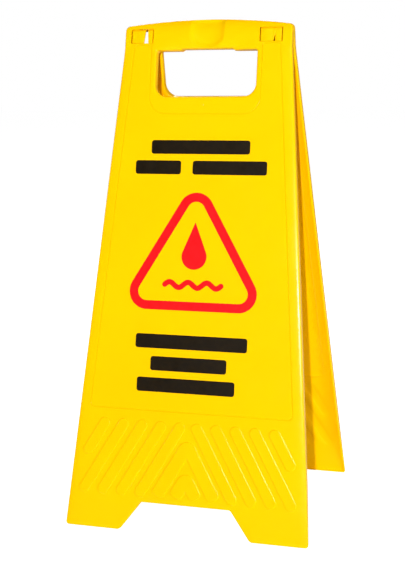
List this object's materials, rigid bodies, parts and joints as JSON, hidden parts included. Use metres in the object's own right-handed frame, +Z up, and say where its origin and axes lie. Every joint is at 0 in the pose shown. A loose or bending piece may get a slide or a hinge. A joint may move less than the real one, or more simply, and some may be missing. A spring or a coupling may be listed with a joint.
{
  "type": "wet floor sign",
  "caption": "Free-standing folding A-frame floor sign of two moulded plastic leaves that hinge under a hand grip, with plain printed marks.",
  "frame": {"origin": "centre of the footprint on the floor, under the hinge line, sign open", "axes": "+X to the right across the sign, -Y is the way the front leaf faces, +Z up"},
  "size_m": [0.2994, 0.2694, 0.6016],
  "materials": {
    "yellow_plastic": "glossy injection-moulded polypropylene, light scuffs",
    "pin_plastic": "glossy moulded plastic",
    "black_ink": "screen-printed ink, satin",
    "red_ink": "screen-printed ink, satin"
  },
  "bodies": {
    "front": {"front_leaf": "yellow_plastic", "hinge_pin_left_a": "pin_plastic", "hinge_pin_left_b": "pin_plastic", "hinge_pin_right_a": "pin_plastic", "hinge_pin_right_b": "pin_plastic", "front_text_bar_1": "black_ink", "front_text_bar_2": "black_ink", "front_text_bar_3": "black_ink", "front_text_bar_4": "black_ink", "front_text_bar_5": "black_ink", "front_text_bar_6": "black_ink", "front_warning_triangle": "red_ink", "front_drop_symbol": "red_ink", "front_floor_wave": "red_ink"},
    "rear": {"rear_leaf": "yellow_plastic", "rear_text_bar_1": "black_ink", "rear_text_bar_2": "black_ink", "rear_text_bar_3": "black_ink", "rear_text_bar_4": "black_ink", "rear_text_bar_5": "black_ink", "rear_text_bar_6": "black_ink", "rear_warning_triangle": "red_ink", "rear_drop_symbol": "red_ink", "rear_floor_wave": "red_ink"}
  },
  "joints": [
    {"name": "leaf_hinge", "type": "hinge", "parent": "front", "child": "rear", "pos_m": [0, 0, 0.58061], "axis": [1, 0, 0], "range_deg": [-24.1, 0]}
  ]
}
